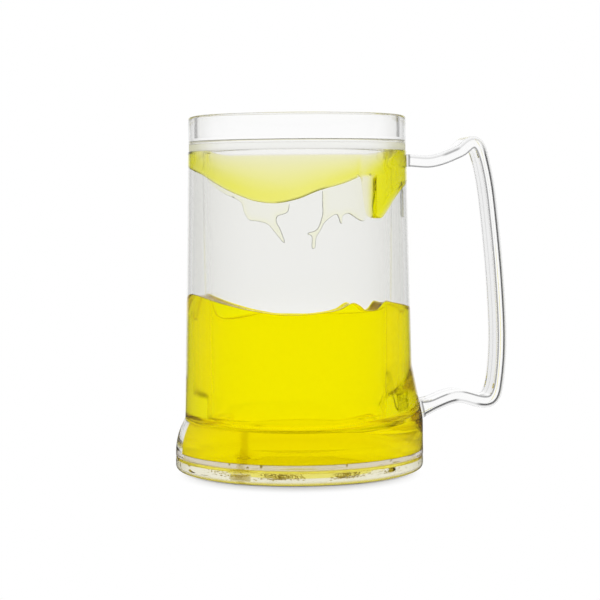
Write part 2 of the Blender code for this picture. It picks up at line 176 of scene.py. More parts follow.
def smooth_through(points, steps):
    """A smooth open line through 2-D points."""
    line = []
    padded = [points[0]] + list(points) + [points[-1]]
    for a, b, c, d in zip(padded, padded[1:], padded[2:], padded[3:]):
        for i in range(steps):
            t = i / steps
            line.append(tuple(
                0.5 * (
                    2 * q + (r - p) * t + (2 * p - 5 * q + 4 * r - s) * t**2
                    + (3 * q - p - 3 * r + s) * t**3
                )
                for p, q, r, s in zip(a, b, c, d)
            ))
    line.append(tuple(points[-1]))
    return line


def edge_at(edge, angle):
    """Height of a closed wavy edge at an angle in radians, from its (degrees, height) points."""
    degrees = math.degrees(angle)
    points = [(a + turn, value) for turn in (-360, 0, 360) for a, value in edge]
    for i in range(1, len(points) - 2):
        (a0, v0), (a1, v1), (a2, v2), (a3, v3) = points[i - 1:i + 3]
        if a1 <= degrees < a2:
            span = a2 - a1
            rise = 0.0 if (v1 - v0) * (v2 - v1) <= 0 else (v2 - v0) / (a2 - a0) * span
            fall = 0.0 if (v2 - v1) * (v3 - v2) <= 0 else (v3 - v1) / (a3 - a1) * span
            start, leave, end, arrive = blend_shares((degrees - a1) / span)
            return v1 * start + rise * leave + v2 * end + fall * arrive
    return points[-1][1]


def to_mesh(name, bm):
    mesh = bpy.data.meshes.new(name)
    bm.to_mesh(mesh)
    bm.free()
    return mesh


def add_piece(name, bm, material, node, sharp=35.0):
    """Puts a finished mesh on the mug: it rides on the one body and stands for a CAD node."""
    mesh = to_mesh(name, bm)
    mesh.materials.append(material)
    mesh.shade_smooth()
    mesh.set_sharp_from_angle(angle=math.radians(sharp))
    piece = bpy.data.objects.new(name, mesh)
    SCENE.collection.objects.link(piece)
    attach(piece, "root")
    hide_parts(node)
    return piece


def lathe(profile, move=None, closed=True, turns=TURNS):
    """A mesh from a profile of (radius, height) spun about the axis.

    move may shift each point, by its number in the profile and its angle.
    """
    bm = bmesh.new()
    rows = []
    for i in range(turns):
        angle = math.tau * i / turns - math.pi
        row = []
        for k, (radius, z) in enumerate(profile):
            if move:
                radius, z = move(k, radius, z, angle)
            row.append(bm.verts.new((radius * math.cos(angle), radius * math.sin(angle), z)))
        rows.append(row)
    last = len(profile) if closed else len(profile) - 1
    for i in range(turns):
        here, there = rows[i], rows[(i + 1) % turns]
        for k in range(last):
            m = (k + 1) % len(profile)
            bm.faces.new((here[k], there[k], there[m], here[m]))
    bmesh.ops.remove_doubles(bm, verts=bm.verts, dist=SAME_POINT)
    bmesh.ops.recalc_face_normals(bm, faces=bm.faces)
    return bm


# Finishes

MOTTLE_DEPTH = 0.2 * MM


def start_group(name, inputs, outputs):
    """A shader group with its sockets: number inputs with their values, and outputs with their kinds."""
    group = bpy.data.node_groups.new(name, "ShaderNodeTree")
    for label, value in inputs:
        socket = group.interface.new_socket(label, in_out="INPUT", socket_type="NodeSocketFloat")
        socket.default_value = value
    for label, kind in outputs:
        group.interface.new_socket(label, in_out="OUTPUT", socket_type=kind)
    return group, group.nodes.new("NodeGroupInput"), group.nodes.new("NodeGroupOutput")


def mottle_group():
    """Slow and fine variation over a surface, between two values, and a bump normal from it."""
    group, given, out = start_group(
        "moulded_variation",
        (("Scale", 60.0), ("Detail", 4.0), ("Low", 0.0), ("High", 1.0), ("Bump", 0.1)),
        (("Value", "NodeSocketFloat"), ("Normal", "NodeSocketVector")),
    )
    nodes, link = group.nodes, group.links.new
    place = nodes.new("ShaderNodeTexCoord")
    grain = nodes.new("ShaderNodeTexNoise")
    spread = nodes.new("ShaderNodeMapRange")
    bump = nodes.new("ShaderNodeBump")
    bump.inputs["Distance"].default_value = MOTTLE_DEPTH
    link(place.outputs["Object"], grain.inputs["Vector"])
    link(given.outputs["Scale"], grain.inputs["Scale"])
    link(given.outputs["Detail"], grain.inputs["Detail"])
    link(grain.outputs["Fac"], spread.inputs["Value"])
    link(given.outputs["Low"], spread.inputs["To Min"])
    link(given.outputs["High"], spread.inputs["To Max"])
    link(grain.outputs["Fac"], bump.inputs["Height"])
    link(given.outputs["Bump"], bump.inputs["Strength"])
    link(spread.outputs["Result"], out.inputs["Value"])
    link(bump.outputs["Normal"], out.inputs["Normal"])
    return group


def height_group():
    """A mask that changes smoothly from one height to another."""
    group, given, out = start_group(
        "height_mask",
        (("From", 0.0), ("To", 1.0), ("Low", 0.0), ("High", 1.0)),
        (("Mask", "NodeSocketFloat"),),
    )
    nodes, link = group.nodes, group.links.new
    place = nodes.new("ShaderNodeTexCoord")
    split = nodes.new("ShaderNodeSeparateXYZ")
    step = nodes.new("ShaderNodeMapRange")
    step.interpolation_type = "SMOOTHSTEP"
    link(place.outputs["Object"], split.inputs[0])
    link(split.outputs["Z"], step.inputs["Value"])
    for label, socket in (("From", "From Min"), ("To", "From Max"), ("Low", "To Min"), ("High", "To Max")):
        link(given.outputs[label], step.inputs[socket])
    link(step.outputs["Result"], out.inputs["Mask"])
    return group


MOTTLE = mottle_group()
HEIGHT_MASK = height_group()


def place_group(material, group, values):
    """One use of a shader group in a material, with its own values."""
    node = material.node_tree.nodes.new("ShaderNodeGroup")
    node.node_tree = group
    for label, value in values.items():
        node.inputs[label].default_value = value
    return node


def mottle(material, scale, low, high, bump=0.0):
    """Varies a material's roughness by the moulded variation, and its normal where it has a bump."""
    tree = material.node_tree
    shader = tree.nodes["Principled BSDF"]
    node = place_group(material, MOTTLE, {"Scale": scale, "Low": low, "High": high, "Bump": bump})
    tree.links.new(node.outputs["Value"], shader.inputs["Roughness"])
    if bump:
        tree.links.new(node.outputs["Normal"], shader.inputs["Normal"])


def by_height(material, first, last, low=0.0, high=1.0):
    """A mask that changes smoothly from one height to another."""
    values = {"From": first, "To": last, "Low": low, "High": high}
    return place_group(material, HEIGHT_MASK, values).outputs["Mask"]


def new_finish(name, ior, mirror, colour=(1.0, 1.0, 1.0), tint=None, density=0.0, clear=1.0):
    """A finish of the mug.

    mirror scales its reflections, tint and density take light along the way inside, and clear is the share
    of the light that goes through it.
    """
    material = bpy.data.materials.new(name)
    material.use_nodes = True
    shader = material.node_tree.nodes["Principled BSDF"]
    shader.inputs["Base Color"].default_value = (*colour, 1.0)
    shader.inputs["Roughness"].default_value = 0.0
    shader.inputs["Metallic"].default_value = 0.0
    shader.inputs["Transmission Weight"].default_value = clear
    shader.inputs["IOR"].default_value = ior
    shader.inputs["Specular Tint"].default_value = (mirror, mirror, mirror, 1.0)
    if tint:
        inside = material.node_tree.nodes.new("ShaderNodeVolumeAbsorption")
        inside.inputs["Color"].default_value = (*tint, 1.0)
        inside.inputs["Density"].default_value = density
        out = material.node_tree.nodes["Material Output"]
        material.node_tree.links.new(inside.outputs["Volume"], out.inputs["Volume"])
    return material


def ramp(tree, value, first, last, low=0.0, high=1.0):
    """A smooth step between two values of a socket."""
    node = tree.nodes.new("ShaderNodeMapRange")
    node.interpolation_type = "SMOOTHSTEP"
    for label, number in (("From Min", first), ("From Max", last), ("To Min", low), ("To Max", high)):
        node.inputs[label].default_value = number
    tree.links.new(value, node.inputs["Value"])
    return node.outputs["Result"]


def joined(tree, operation, a, b):
    """Two values joined by one operation, kept between 0 and 1."""
    node = tree.nodes.new("ShaderNodeMath")
    node.operation = operation
    node.use_clamp = True
    tree.links.new(a, node.inputs[0])
    tree.links.new(b, node.inputs[1])
    return node.outputs[0]


def times(tree, a, b):
    return joined(tree, "MULTIPLY", a, b)


def mirrored(tree):
    """A mask of the light that comes by a mirroring face."""
    path = tree.nodes.new("ShaderNodeLightPath")
    return joined(tree, "SUBTRACT", path.outputs["Is Glossy Ray"], path.outputs["Is Transmission Ray"])


def turned_away(material, first, last):
    """How far a face is turned from the eye, as a mask."""
    tree = material.node_tree
    facing = tree.nodes.new("ShaderNodeLayerWeight")
    facing.inputs["Blend"].default_value = 0.5
    return ramp(tree, facing.outputs["Facing"], first, last)


def from_inside(material):
    """A mask of the light that leaves through a face."""
    return material.node_tree.nodes.new("ShaderNodeNewGeometry").outputs["Backfacing"]


def from_outside(material):
    """A mask of the light that enters through a face."""
    return ramp(material.node_tree, from_inside(material), 0.0, 1.0, 1.0, 0.0)


def marked(material, name):
    """A mask that is painted on the points of a mesh."""
    node = material.node_tree.nodes.new("ShaderNodeAttribute")
    node.attribute_name = name
    return node.outputs["Fac"]


def shade(material, mask, colour):
    """Paints a darker colour into a masked part of a finish, so that less light passes there."""
    tree = material.node_tree
    base = tree.nodes["Principled BSDF"].inputs["Base Color"]
    blend = tree.nodes.new("ShaderNodeMix")
    blend.data_type = "RGBA"
    if base.is_linked:
        tree.links.new(base.links[0].from_socket, blend.inputs["A"])
    else:
        blend.inputs["A"].default_value = base.default_value
    blend.inputs["B"].default_value = (*colour, 1.0)
    tree.links.new(mask, blend.inputs["Factor"])
    tree.links.new(blend.outputs["Result"], base)


BODY_PLASTIC = new_finish("clear_wall", 1.35, 0.1, (0.96, 0.96, 0.95), (0.30, 0.31, 0.28), 5.0)
COLLAR_PLASTIC = new_finish("clear_collar", 1.40, 0.5)
CUP_PLASTIC = new_finish("clear_cup", 1.15, 0.5)
FLOOR_PLASTIC = new_finish("clear_floor", 1.40, 0.5)
BASE_PLASTIC = new_finish("clear_base", 1.45, 0.6, tint=(0.75, 0.70, 0.35), density=7.0)
HANDLE_PLASTIC = new_finish("clear_handle", 1.50, 0.6, tint=(0.30, 0.34, 0.32), density=1.0)
THICK_GEL = new_finish("thick_gel", 1.36, 0.0, (1.0, 0.95, 0.40), (1.0, 0.9985, 0.06), 1000.0)
THIN_GEL = new_finish("thin_gel", 1.12, 0.0, (1.0, 0.98, 0.90), (0.9998, 0.9975, 0.06), 1000.0)
PALE_FILM = new_finish("pale_film", 1.38, 0.5, tint=(0.97, 0.965, 0.50), density=700.0)
RIM_GLUE = new_finish("rim_glue", 1.40, 0.5, (0.93, 0.93, 0.90), clear=0.0)
BASE_GLUE = new_finish("base_glue", 1.38, 0.5, tint=(0.98, 0.95, 0.25), density=700.0)
GLUE_DROPS = new_finish("glue_drops", 1.30, 0.5, tint=(0.78, 0.72, 0.15), density=9000.0)
RUBBER = new_finish("plug_rubber", 1.08, 0.3, tint=(0.70, 0.62, 0.20), density=300.0)
for finish in (BODY_PLASTIC, COLLAR_PLASTIC, FLOOR_PLASTIC, BASE_PLASTIC, HANDLE_PLASTIC):
    mottle(finish, scale=90.0, low=0.0, high=0.02)
for finish in (CUP_PLASTIC, THICK_GEL, THIN_GEL, PALE_FILM, BASE_GLUE, GLUE_DROPS, RUBBER):
    mottle(finish, scale=400.0, low=0.02, high=0.08)
mottle(RIM_GLUE, scale=700.0, low=0.4, high=0.7, bump=0.1)

# Colours painted into the finishes: painted shade, and the yellow of the base's lower edge
PAINTED_SIDE_SHADE = (0.82, 0.82, 0.80)
PAINTED_WALL_SHADE = (0.93, 0.93, 0.915)
PAINTED_FOOT_SHADE = (0.82, 0.77, 0.73)
BASE_YELLOW = (0.93, 0.88, 0.45)
PAINTED_GLUE_SHADE = (0.72, 0.71, 0.52)
PAINTED_EDGE_SHADE = (0.15, 0.15, 0.15)
PAINTED_FILM_SHADE = (0.12, 0.12, 0.08)
PAINTED_GEL_SHADE = (0.22, 0.22, 0.05)
PAINTED_FLOOR_SHADE = (0.2, 0.2, 0.2)
NEARLY_BLACK = (0.01, 0.01, 0.01)

# Painted shade: the wall is greyer above the lower gel and towards its sides, and mauve below the gel
shade(BODY_PLASTIC, by_height(BODY_PLASTIC, 58.0 * MM, 70.0 * MM), PAINTED_WALL_SHADE)
above_foot = by_height(BODY_PLASTIC, FOOT_HEIGHT - 3.0 * MM, FOOT_HEIGHT + 1.0 * MM)
to_sides = turned_away(BODY_PLASTIC, 0.0, 0.75)
shade(BODY_PLASTIC, times(BODY_PLASTIC.node_tree, above_foot, to_sides), PAINTED_SIDE_SHADE)
shade(BODY_PLASTIC, by_height(BODY_PLASTIC, BASE_TOP, BASE_TOP + 0.8 * MM, 1.0, 0.0), PAINTED_FOOT_SHADE)
# Painted shade: the collar is greyer towards its sides, with dark lines at its outline and in its bore
shade(COLLAR_PLASTIC, turned_away(COLLAR_PLASTIC, 0.2, 0.9), PAINTED_SIDE_SHADE)
shade(COLLAR_PLASTIC, turned_away(COLLAR_PLASTIC, 0.78, 1.0), PAINTED_EDGE_SHADE)
collar_tree = COLLAR_PLASTIC.node_tree
painted_bore_shade = times(collar_tree, from_inside(COLLAR_PLASTIC), turned_away(COLLAR_PLASTIC, 0.270, 0.285))
shade(COLLAR_PLASTIC, times(collar_tree, marked(COLLAR_PLASTIC, "collar_bore_shade"), painted_bore_shade), PAINTED_EDGE_SHADE)
# The base is yellow near the table. Painted shade: the rim's glue is olive towards its sides
shade(BASE_PLASTIC, by_height(BASE_PLASTIC, 0.8 * MM, 1.6 * MM, 1.0, 0.0), BASE_YELLOW)
shade(RIM_GLUE, turned_away(RIM_GLUE, 0.2, 0.75), PAINTED_GLUE_SHADE)
# Painted shade: thin dark lines along the edges of the film and the gel, on the cup's rounded floor and
# along the strap
shade(PALE_FILM, marked(PALE_FILM, "film_edge_shade"), PAINTED_FILM_SHADE)
shade(THIN_GEL, marked(THIN_GEL, "gel_edge_shade"), PAINTED_GEL_SHADE)
for finish, name, line_shade in (
    (FLOOR_PLASTIC, "rounded_floor_shade", PAINTED_FLOOR_SHADE), (HANDLE_PLASTIC, "rounded_edge_shade", NEARLY_BLACK),
):
    shade(finish, times(finish.node_tree, marked(finish, name), from_outside(finish)), line_shade)
# Painted shade: where the wall mirrors the handle, the handle is painted nearly black, so it shows no
# brighter than the room around it
handle_tree = HANDLE_PLASTIC.node_tree
painted_mirror_shade = times(handle_tree, mirrored(handle_tree), from_outside(HANDLE_PLASTIC))
shade(HANDLE_PLASTIC, painted_mirror_shade, NEARLY_BLACK)


# Mouldings


def make_shell():
    """The outer wall with its foot, boss and tongue."""
    crest = 0.12 * MM
    rim = 0.25 * MM
    boss_fillet = 0.25 * MM
    upper = spaced(SHOULDER - crest, BOSS_TOP, 24)
    lower = spaced(BOSS_TOP, FOOT_UPRIGHT, 48)[1:]
    outside = arc((SHELL_TOP_RADIUS - crest, SHOULDER - crest), crest, 90, 0, 4)[:-1]
    outside += [(shell_radius(z), z) for z in upper + lower]
    outside += arc((FOOT_RADIUS - rim, SHELL_BOTTOM + rim), rim, 0, -90, 3)
    inside = [(bore_radius(z), z) for z in [SHELL_BOTTOM] + spaced(FOOT_UPRIGHT, FOOT_HEIGHT, 16)]
    inside += [(bore_radius(z), z) for z in spaced(FOOT_HEIGHT, SHOULDER, 12)[1:]]
    tongue = [(SHELL_BORE_TOP, TONGUE_TOP), (SEAM_RADIUS, TONGUE_TOP), (SEAM_RADIUS, SHOULDER)]
    outer_count = len(outside)

    def swell(k, radius, z, angle):
        if k < outer_count and z <= BOSS_TOP + 1.0 * MM:
            radius = soft_max(radius, boss_radius(z, angle), boss_fillet)
        return radius, z

    bm = lathe(outside + inside + tongue, swell)
    return add_piece("mug_outer_wall", bm, BODY_PLASTIC, "outer_shell")


# Painted shade lines on the cup's rounded lower edge: degrees of slope, and how dark. All are as wide
FLOOR_LINES = ((62.0, 1.0), (84.0, 0.9))
FLOOR_LINE_WIDTH = 4.0


def make_liner():
    """The cup with the rim collar. The collar, the cup's wall and its floor have a finish each."""
    lip = COLLAR_WALL / 2
    profile = arc((COLLAR_RADIUS - lip, HEIGHT - lip), lip, 0, 180, 12)
    inner_top = CUP_TOP_RADIUS - CUP_WALL
    inner_low = CUP_LOW_RADIUS - CUP_WALL
    slope = math.tan(SHOULDER_SLOPE)
    shoulder_wall = 2.65 * MM
    ledge = CEILING_LOW - CUP_WALL * slope + shoulder_wall / math.cos(SHOULDER_SLOPE)
    bend = math.pi / 2 - SHOULDER_SLOPE
    fillet = 2.6 * MM
    bend_low = ledge + (MOUTH_RADIUS - fillet * (1 - math.cos(bend)) - inner_top) * slope
    bend_centre = (MOUTH_RADIUS - fillet, bend_low + fillet * math.sin(bend))
    profile += arc(bend_centre, fillet, 0, -math.degrees(bend), 8)
    turn = 1.5 * MM
    turn_centre = (inner_top + turn, ledge - turn * math.tan(bend / 2))
    profile += arc(turn_centre, turn, 180 - math.degrees(bend), 180, 6)
    profile += arc((inner_low - CUP_CORNER, CUP_FLOOR + CUP_CORNER), CUP_CORNER, 0, -90, 12)
    profile += [(r, CUP_FLOOR) for r in spaced(inner_low - CUP_CORNER, 0.0, 6)[1:]]
    corner = CUP_CORNER + CUP_WALL
    profile += [(r, CUP_UNDERSIDE) for r in spaced(0.0, CUP_LOW_RADIUS - corner, 6)[:-1]]
    profile += arc((CUP_LOW_RADIUS - corner, CUP_UNDERSIDE + corner), corner, -90, 0, 36)
    profile += [
        (CUP_TOP_RADIUS, CEILING_LOW), (CEILING_OUTER, CEILING_HIGH), (CEILING_OUTER, FLANGE_BOTTOM),
        (SEAM_RADIUS, FLANGE_BOTTOM), (SEAM_RADIUS, COLLAR_BOTTOM),
    ]
    bevel = 0.12 * MM
    profile += arc((COLLAR_RADIUS - bevel, COLLAR_BOTTOM + bevel), bevel, -90, 0, 4)
    bm = lathe(profile)
    # Painted shade: a dark line on the collar's bore, and dark lines on the cup's rounded lower edge
    bore = bm.verts.layers.float.new("collar_bore_shade")
    floor = bm.verts.layers.float.new("rounded_floor_shade")
    slack = 0.1 * MM
    for vert in bm.verts:
        radius = vert.co.xy.length
        vert[bore] = float(vert.co.z > COLLAR_BOTTOM and radius < MOUTH_RADIUS + slack)
        turned = Vector((radius - CUP_LOW_RADIUS + corner, CUP_UNDERSIDE + corner - vert.co.z))
        if turned.y > 0 and turned.length > corner - slack:
            degrees = math.degrees(math.atan2(turned.y, turned.x))
            vert[floor] = sum(
                dark * math.exp(-((degrees - middle) / FLOOR_LINE_WIDTH) ** 2)
                for middle, dark in FLOOR_LINES
            )
    half_way = 0.5 * CEILING_LOW
    for face in bm.faces:
        z = face.calc_center_median().z
        face.material_index = 0 if z > bend_centre[1] else 1 if z > half_way else 2
    piece = add_piece("mug_inner_cup", bm, COLLAR_PLASTIC, "inner_liner")
    piece.data.materials.append(CUP_PLASTIC)
    piece.data.materials.append(FLOOR_PLASTIC)
    return piece


def make_base():
    """The disc that closes the bottom."""
    edge = 2.0 * MM
    spigot = FOOT_BORE - 0.3 * MM
    profile = [(0.0, 0.0)] + arc((FOOT_RADIUS - edge, edge), edge, -90, 0, 10)
    profile += [(FOOT_RADIUS, BASE_FLANGE), (spigot, BASE_FLANGE), (spigot, BASE_TOP), (0.0, BASE_TOP)]
    bm = lathe(profile, closed=False)
    return add_piece("mug_base", bm, BASE_PLASTIC, "base_plate")


# Knots of the strap's curve: millimetres in from the grip, and up from the arm's root
UPPER_KNOTS = ((17.2, 3.6), (11.2, 7.2), (7.8, 3.0), (4.0, -16.4))
LOWER_KNOTS = ((1.2, 9.8), (5.0, 2.6), (18.5, 4.6))
# The knot between them lies on the grip, at this share of the way up from the lower root
GRIP_KNOT = 0.35
# The strap's ends are straight for this length
STRAIGHT_END = 0.45 * MM


def handle_line():
    """Points along the strap's middle and its direction at each, from its upper end to its lower one."""
    upper_z = SHOULDER - 3.9 * MM
    lower_z = FOOT_HEIGHT + 2.2 * MM
    tilt = math.radians(10.0)
    upper_out = Vector((1.0, 0.0, 0.0))
    lower_out = Vector((math.cos(tilt), 0.0, math.sin(tilt)))
    start = Vector((body_radius(upper_z), 0.0, upper_z))
    end = Vector((max(boss_radius(lower_z, 0.0), shell_radius(lower_z)), 0.0, lower_z))
    grip = HANDLE_REACH - 2.0 * MM
    knots = [start, Vector((start.x + 10.1 * MM, 0, start.z - 0.3 * MM))]
    knots += [Vector((grip - inward * MM, 0, start.z + up * MM)) for inward, up in UPPER_KNOTS]
    knots.append(Vector((grip, 0, end.z + (start.z - end.z) * GRIP_KNOT)))
    knots += [Vector((grip - inward * MM, 0, end.z + up * MM)) for inward, up in LOWER_KNOTS]
    knots.append(end)
    inner = [(c - a).normalized() for a, c in zip(knots, knots[2:])]
    slopes = [upper_out] + inner + [-lower_out]
    points = []
    for i in range(len(knots) - 1):
        span = (knots[i + 1] - knots[i]).length
        steps = max(4, round(span / (1.0 * MM)))
        for t in spaced(0.0, 1.0, steps)[:-1]:
            first, leave, last, arrive = blend_shares(t)
            point = knots[i] * first + slopes[i] * span * leave
            points.append(point + knots[i + 1] * last + slopes[i + 1] * span * arrive)
    points[1:1] = [start + upper_out * STRAIGHT_END]
    points += [end + lower_out * STRAIGHT_END, end]
    middle = [(c - a).normalized() for a, c in zip(points, points[2:])]
    return points, [upper_out] + middle + [-lower_out]


# Roundings of the strap's front edges, next to the fingers and away from them, and of its back edges
INNER_ROUNDING = 0.4 * MM
OUTER_ROUNDING = 1.3 * MM
BACK_ROUNDING = 0.3 * MM
# How dark the painted shade lines along those edges are: the inner one, the outer one where it is faint or
# at the upper bend, and the ones at the back
INNER_LINE = 0.85
FAINT_LINE = 0.45
BEND_LINE = 0.85
BACK_LINE = 0.2
# Painted shade lines on the face next to the fingers: share of the half width, and how dark
FINGER_STRIPES = (
    (0.72, 0.0), (0.60, 0.5), (0.48, 0.0), (0.10, 0.0), (-0.05, 0.4), (-0.20, 0.0), (-0.6, 0.0),
)
# How the front painted shade lines fade: millimetres from the rounding, and how dark.
# The outer one is faint or strong
INNER_FADE = ((0.10, 1.0), (0.22, 0.5), (0.36, 0.0))
OUTER_FADE = ((0.70, 0.0, 0.0), (0.50, 0.0, 0.4), (0.34, 0.0, 1.0), (0.16, 0.4, 1.0))
# Stretches of the strap, as shares of its length: its upper bend, and where its lower painted lines are
# paler
UPPER_BEND = (0.085, 0.15)
OUTER_PALER = (0.845, 0.91)
INNER_PALER = (0.885, 0.93)
STRETCH_END = 0.015
# Thickness of the strap in millimetres, and what its arms and its lower end have on top of it
STRAP = 4.0
UPPER_MORE = 0.9
LOWER_MORE = 0.8
END_MORE = 2.4


def strap_section(half, inner, outer):
    """Points around the strap: across it, along its width, and how dark the painted shade line is there.
    """
    steps = 10
    level = HANDLE_WIDTH / 2
    strength = max(0.0, (outer - FAINT_LINE) / (1 - FAINT_LINE))
    section = []
    for side, front, turn in ((1, 1, 0), (-1, 1, 90), (-1, -1, 180), (1, -1, 270)):
        rounding = BACK_ROUNDING if front > 0 else OUTER_ROUNDING if side > 0 else INNER_ROUNDING
        centre = (side * (half - rounding), front * (level - rounding))
        for n, (a, b) in enumerate(arc(centre, rounding, turn, turn + 90, steps)):
            turned = n / steps if side * front < 0 else 1 - n / steps
            if front > 0:
                line = BACK_LINE * math.sin(math.pi * turned)
            elif side > 0:
                line = outer * math.exp(-((turned / 0.30) ** 2))
            else:
                line = inner * min(1.0, 2.5 - 2.5 * turned)
            section.append((a, b, line))
        if (side, front) == (-1, 1):
            section += [(-half, level * b, line) for b, line in FINGER_STRIPES]
        if (side, front) == (-1, -1):
            for reach, share in INNER_FADE:
                section.append((-half + INNER_ROUNDING + reach * MM, -level, inner * share))
            for reach, faint, strong in OUTER_FADE:
                line = outer * (faint + (strong - faint) * strength)
                section.append((half - OUTER_ROUNDING - reach * MM, -level, line))
    return section


def along(share, stretch):
    """1 along a stretch of the strap, with soft ends."""
    return window(share, stretch[0], STRETCH_END, stretch[1], STRETCH_END)


def make_handle():
    """The strap, with lines of painted shade along its edges."""
    points, directions = handle_line()
    bm = bmesh.new()
    painted_shade_mask = bm.verts.layers.float.new("rounded_edge_shade")
    loops = []
    gap = 0.08 * MM
    last = len(points) - 1
    for i, (point, direction) in enumerate(zip(points, directions)):
        share = i / last
        thick = STRAP + UPPER_MORE * soft_step((0.24 - share) / 0.08)
        thick += LOWER_MORE * soft_step((share - 0.76) / 0.08)
        thick += END_MORE * max(0.0, (share - 0.955) / 0.045) ** 2
        across = direction.cross(Vector((0.0, 1.0, 0.0)))
        # Painted shade: the outer line is darker where the strap's outer side faces away from the mug or
        # down
        outer = FAINT_LINE + (1 - FAINT_LINE) * max(0.0, min(1.0, 1.5 * (across.x - across.z)))
        outer = max(outer, BEND_LINE * along(share, UPPER_BEND)) - 0.5 * along(share, OUTER_PALER)
        inner = INNER_LINE * (1 - 0.7 * along(share, INNER_PALER))
        loop = []
        for a, b, line in strap_section(thick * MM / 2, inner, outer):
            spot = point + across * a + Vector((0.0, b, 0.0))
            if i in (0, last):
                wall = body_radius(spot.z)
                if i == last:
                    wall = max(shell_radius(spot.z), boss_radius(spot.z, 0.0))
                spot.x = math.sqrt((wall + gap) ** 2 - b**2)
            vert = bm.verts.new(spot)
            if b < 0 and i in (0, 1, last - 1, last):
                line = float(i in (1, last - 1))
            vert[painted_shade_mask] = line
            loop.append(vert)
        loops.append(loop)
    for before, after in zip(loops, loops[1:]):
        for j in range(len(before)):
            k = (j + 1) % len(before)
            bm.faces.new((before[j], before[k], after[k], after[j]))
    bm.faces.new(loops[0])
    bm.faces.new(loops[-1])
    bmesh.ops.recalc_face_normals(bm, faces=bm.faces)
    return add_piece("mug_handle", bm, HANDLE_PLASTIC, "handle")


# Gel

# Top edge of the lower gel: degrees around the mug from the handle, and millimetres above the table
LOWER_EDGE = (
    (-188, 67.0), (-180, 69.5), (-170, 70.7), (-158, 70.0), (-137, 67.4), (-124, 65.7), (-103, 64.0),
    (-85, 64.9), (-77, 66.0), (-70, 68.2), (-66, 67.0), (-62, 65.0), (-55, 65.2), (-48, 68.2),
    (-43, 67.6), (-32, 66.3), (-11, 64.0), (20, 60.5), (60, 58.5), (100, 59.0), (130, 57.5), (155, 60.0),
)
# Lower edge of the gel under the collar, in the same terms
UPPER_EDGE = (
    (-187, 121.0), (-161, 117.7), (-154, 116.0), (-139, 111.5), (-129, 108.8), (-121, 107.0),
    (-111, 106.2), (-99, 107.7), (-88, 110.8), (-74, 113.6), (-66, 115.7), (-64.5, 116.0),
    (-63.5, 112.0), (-62.5, 106.0), (-61, 101.6), (-57, 100.3), (-53, 100.1), (-50.5, 100.2),
    (-48.4, 101.0), (-43, 104.2), (-37.6, 107.5), (-30, 110.6), (-20, 113.0), (-11, 114.5),
    (15, 120.0), (40, 124.5), (130, 124.5), (155, 123.0),
)


def make_lower_gel():
    """The gel in the lower half, with a wavy top. It stands off the wall at the left of the foot."""
    bottom = BASE_TOP - WETTING
    air = 0.31 * MM
    air_run = 4.0 * MM
    corner = CUP_CORNER + CUP_WALL
    centre = (CUP_LOW_RADIUS - corner, CUP_UNDERSIDE + corner)
    low = centre[1]
    level = 64.0 * MM
    flare = spaced(BASE_TOP + 0.5 * MM, FOOT_HEIGHT - 1.5 * MM, 16)
    outside = [(0.0, bottom), (FOOT_BORE + WETTING, bottom)]
    outside += [(bore_radius(z) + WETTING, z) for z in flare]
    first_wall = len(outside)
    outside += [(bore_radius(z) + WETTING, z) for z in spaced(FOOT_HEIGHT, level, 20)]
    across = [(share, level) for share in spaced(0.0, 1.0, 12)[1:-1]]
    inside = [(cup_radius(z) - WETTING, z) for z in spaced(level, low, 16)]
    outer_count = len(outside)
    inner_start = outer_count + len(across)
    inner_end = inner_start + len(inside)
    inside += arc(centre, corner - WETTING, 0, -90, 14)[1:]
    inside += [(0.0, CUP_UNDERSIDE + WETTING)]

    def rise(k, radius, z, angle):
        top = edge_at(LOWER_EDGE, angle) * MM
        if 1 <= k < first_wall:
            away = air * window(-aside(angle), 71, 3, 140, 20)
            return radius - away * min(1.0, (FOOT_HEIGHT - z) / air_run), z
        if first_wall <= k < outer_count:
            z = FOOT_HEIGHT + (z - FOOT_HEIGHT) / (level - FOOT_HEIGHT) * (top - FOOT_HEIGHT)
            return bore_radius(z) + WETTING, z
        if outer_count <= k < inner_start:
            wall, cup = bore_radius(top) + WETTING, cup_radius(top) - WETTING
            swing = math.cos(math.pi * radius)
            sunk = MENISCUS * math.sqrt(1 - swing**2)
            return (wall + cup) / 2 + (wall - cup) / 2 * swing, top - sunk
        if inner_start <= k < inner_end:
            z = low + (z - low) / (level - low) * (top - low)
            return cup_radius(z) - WETTING, z
        return radius, z

    bm = lathe(outside + across + inside, rise, closed=False, turns=2 * TURNS)
    return add_piece("lower_gel", bm, THICK_GEL, "gel_lower")


# Thickness of the upper gel in millimetres: its skin, and what its front, lip, lobe and left side add
GEL_SKIN = 0.06
GEL_FRONT = 0.14
GEL_LIP = 1.9
GEL_LOBE = 1.9
GEL_LEFT = 0.6
# Painted shade line along its lower edge: its width in millimetres, and how dark it is where it is faint
GEL_LINE_WIDTH = 0.9
GEL_LINE_FAINT = 0.15


